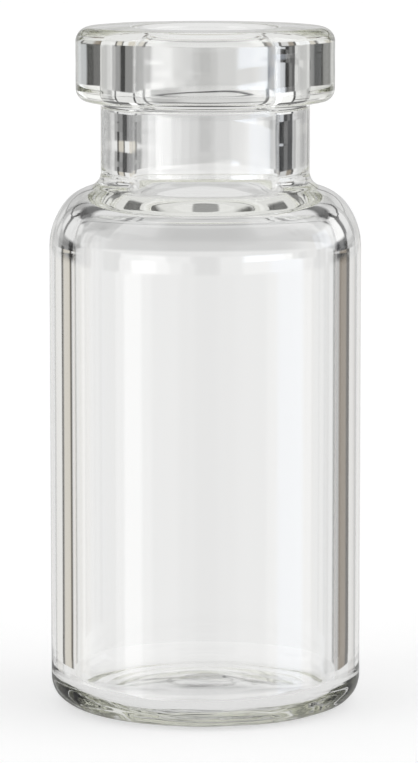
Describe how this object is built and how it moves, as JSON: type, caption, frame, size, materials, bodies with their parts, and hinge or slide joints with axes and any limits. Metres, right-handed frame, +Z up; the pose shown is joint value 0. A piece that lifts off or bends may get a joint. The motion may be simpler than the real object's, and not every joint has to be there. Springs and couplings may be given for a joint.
{
  "type": "glass sample vial",
  "caption": "Small clear glass vial with a wide round body, drawn-in neck, rounded crimp flange at the mouth and slightly pushed-up base. Empty and uncapped.",
  "frame": {"origin": "centre of the flat ring that the vial stands on", "axes": "+Z up along the vial's axis, from the base to the mouth; +X and +Y are alike on this round part"},
  "size_m": [0.016, 0.016, 0.035],
  "materials": {
    "glass": "gloss"
  },
  "bodies": {
    "root": {"vial": "glass"}
  },
  "joints": []
}
